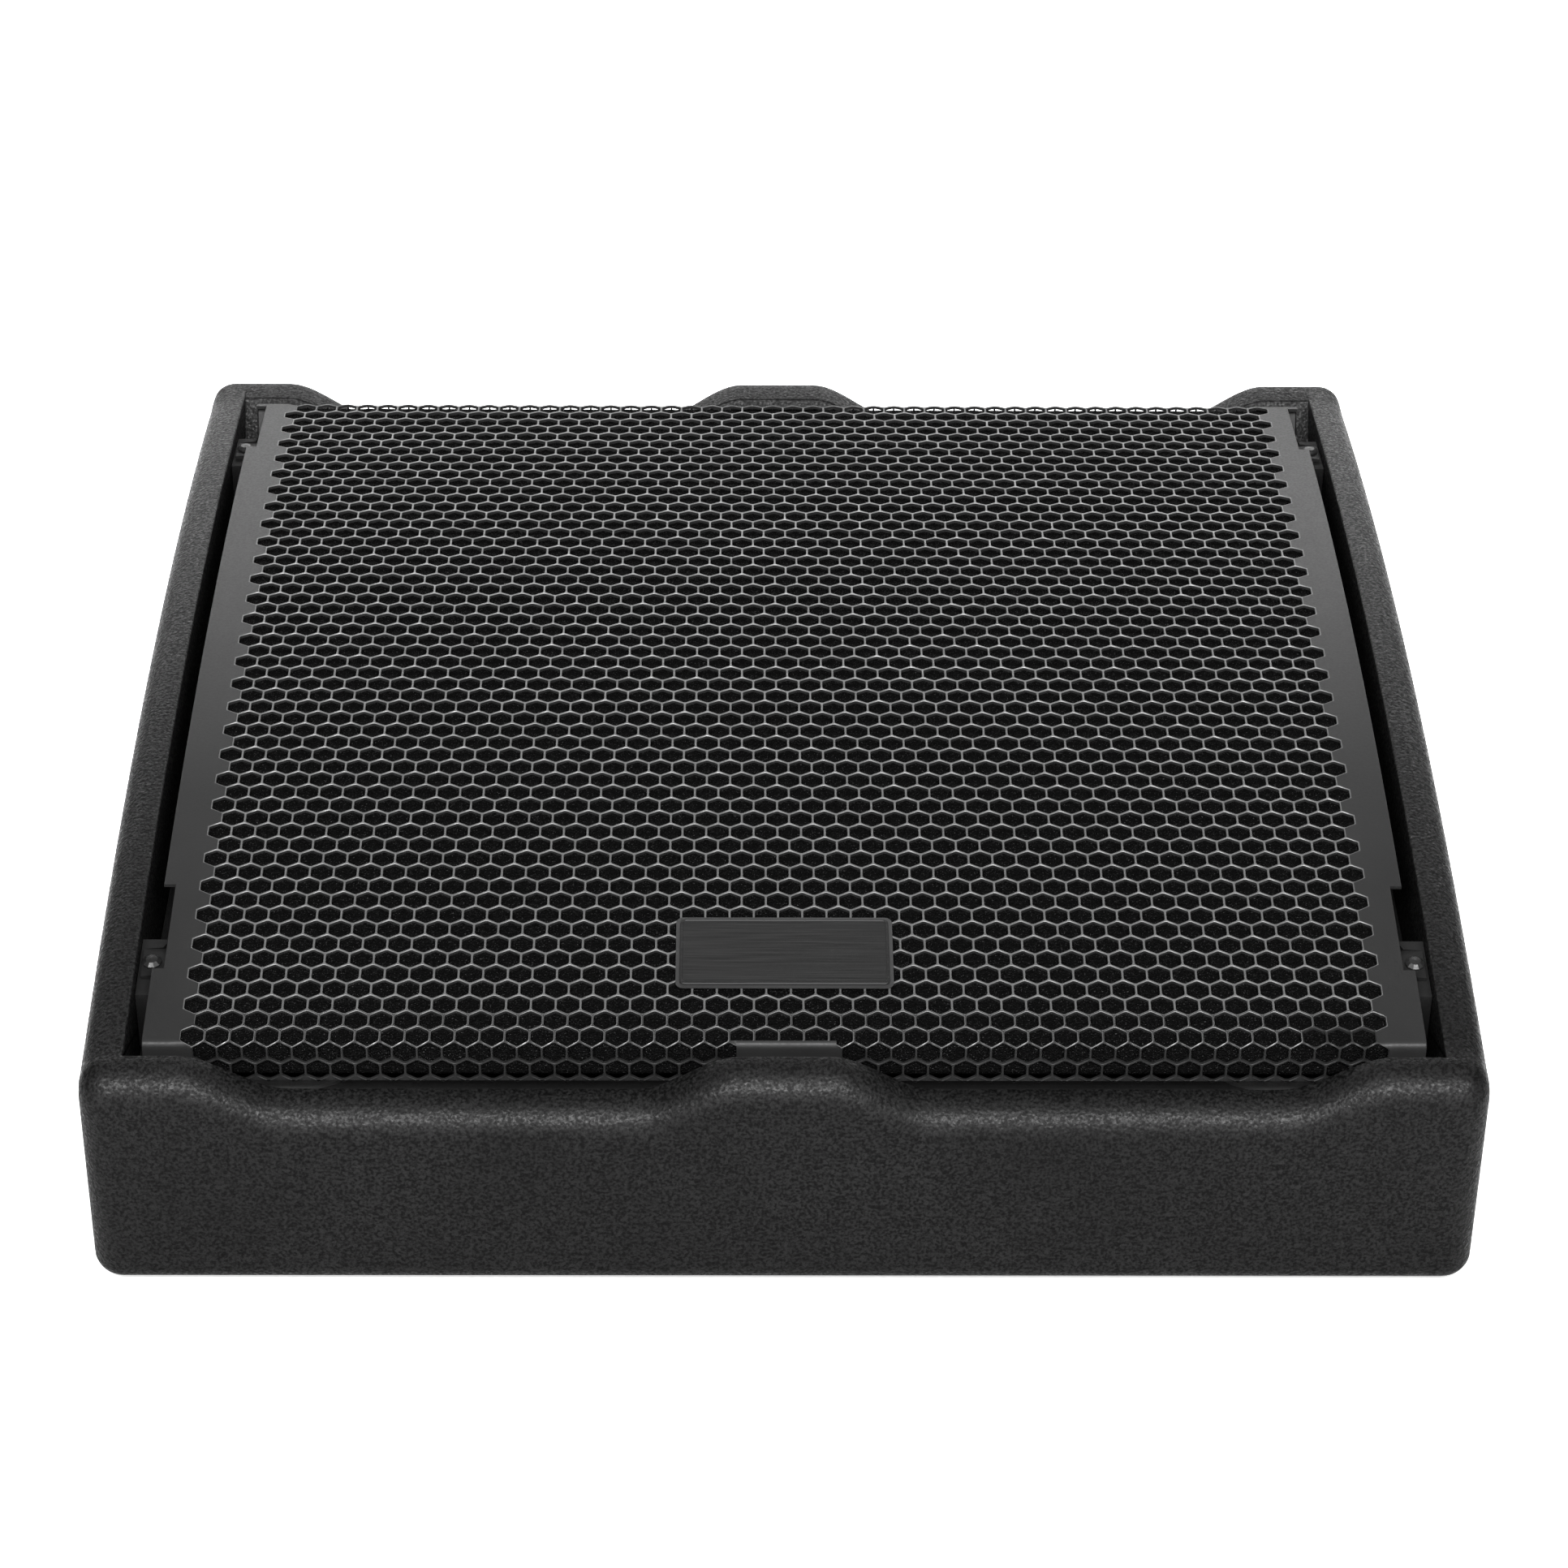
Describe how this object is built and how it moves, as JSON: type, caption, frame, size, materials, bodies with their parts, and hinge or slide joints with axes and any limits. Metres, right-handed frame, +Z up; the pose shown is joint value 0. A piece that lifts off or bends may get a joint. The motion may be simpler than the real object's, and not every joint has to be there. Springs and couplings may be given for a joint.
{
  "type": "stage monitor wedge",
  "caption": "Low wedge-shaped stage monitor loudspeaker with an arched hexagon-perforated grille over a coaxial driver, hand recesses and a rear amplifier panel.",
  "frame": {"origin": "centre of the bounding box at floor level, under the feet", "axes": "+X to the object's right seen from the front, -Y towards the front, +Z up"},
  "size_m": [0.564, 0.477, 0.3652],
  "materials": {
    "textured_plywood": "gritty black paint",
    "inner_plywood": "flat black stain",
    "black_sheet_steel": "satin black powder coat",
    "black_foam": "open-cell, matte",
    "black_alloy": "satin black",
    "black_cone": "matte",
    "dark_screw": "black zinc",
    "plated_steel": "zinc plated",
    "ferrite": "matte grey",
    "coil_winding": "varnished wire",
    "black_rubber": "matte",
    "badge_metal": "satin, blank",
    "circuit_laminate": "satin",
    "black_plastic": "moulded texture"
  },
  "bodies": {
    "cabinet": {"amp_board": "circuit_laminate", "amp_panel": "black_sheet_steel", "amp_screw_1": "dark_screw", "amp_screw_2": "dark_screw", "amp_screw_3": "dark_screw", "amp_screw_4": "dark_screw", "back_plate": "plated_steel", "badge_plate": "badge_metal", "baffle_board": "inner_plywood", "bottom_panel": "textured_plywood", "cone_surround": "black_cone", "driver_basket": "black_alloy", "driver_bolt_1": "dark_screw", "driver_bolt_2": "dark_screw", "driver_bolt_3": "dark_screw", "driver_bolt_4": "dark_screw", "driver_bolt_5": "dark_screw", "driver_bolt_6": "dark_screw", "driver_bolt_7": "dark_screw", "driver_bolt_8": "dark_screw", "driver_gasket": "black_rubber", "driver_lead": "black_rubber", "foot_1": "black_rubber", "foot_2": "black_rubber", "foot_3": "black_rubber", "foot_4": "black_rubber", "front_panel": "textured_plywood", "grille_foam": "black_foam", "grille_panel": "black_sheet_steel", "grille_screw_1": "dark_screw", "grille_screw_2": "dark_screw", "grille_screw_3": "dark_screw", "grille_screw_4": "dark_screw", "heatsink": "black_alloy", "high_driver": "black_plastic", "horn": "black_plastic", "left_grille_rib": "inner_plywood", "left_handle_cup": "black_plastic", "left_port_tube": "black_plastic", "left_side_panel": "textured_plywood", "level_potentiometer": "plated_steel", "magnet_ring": "ferrite", "mains_inlet": "black_plastic", "mains_link": "black_plastic", "power_supply": "black_alloy", "preset_switch": "black_plastic", "rear_panel": "textured_plywood", "right_grille_rib": "inner_plywood", "right_handle_cup": "black_plastic", "right_port_tube": "black_plastic", "right_side_panel": "textured_plywood", "signal_input": "black_plastic", "signal_link": "black_plastic", "spider": "black_cone", "top_plate": "plated_steel"},
    "cone_assembly": {"cone": "black_cone", "voice_coil": "coil_winding"},
    "level_knob": {"level_knob": "black_plastic"},
    "preset_button": {"preset_button": "black_plastic"},
    "input_latch": {"input_latch": "black_plastic"}
  },
  "joints": [
    {"name": "cone_travel", "type": "slide", "parent": "cabinet", "child": "cone_assembly", "axis": [0, -0.5, 0.866], "range_m": [-0.006, 0.006], "stiffness_N_per_m": 3000, "deforming": ["cone_surround", "spider"]},
    {"name": "level_turn", "type": "hinge", "parent": "cabinet", "child": "level_knob", "pos_m": [-0.036, 0.2298, 0.19], "axis": [0, 1, 0], "range_deg": [-150, 150]},
    {"name": "preset_press", "type": "slide", "parent": "cabinet", "child": "preset_button", "axis": [0, -1, 0], "range_m": [0, 0.0018], "stiffness_N_per_m": 800},
    {"name": "latch_press", "type": "slide", "parent": "cabinet", "child": "input_latch", "axis": [0, -1, 0], "range_m": [0, 0.0015], "stiffness_N_per_m": 800}
  ]
}
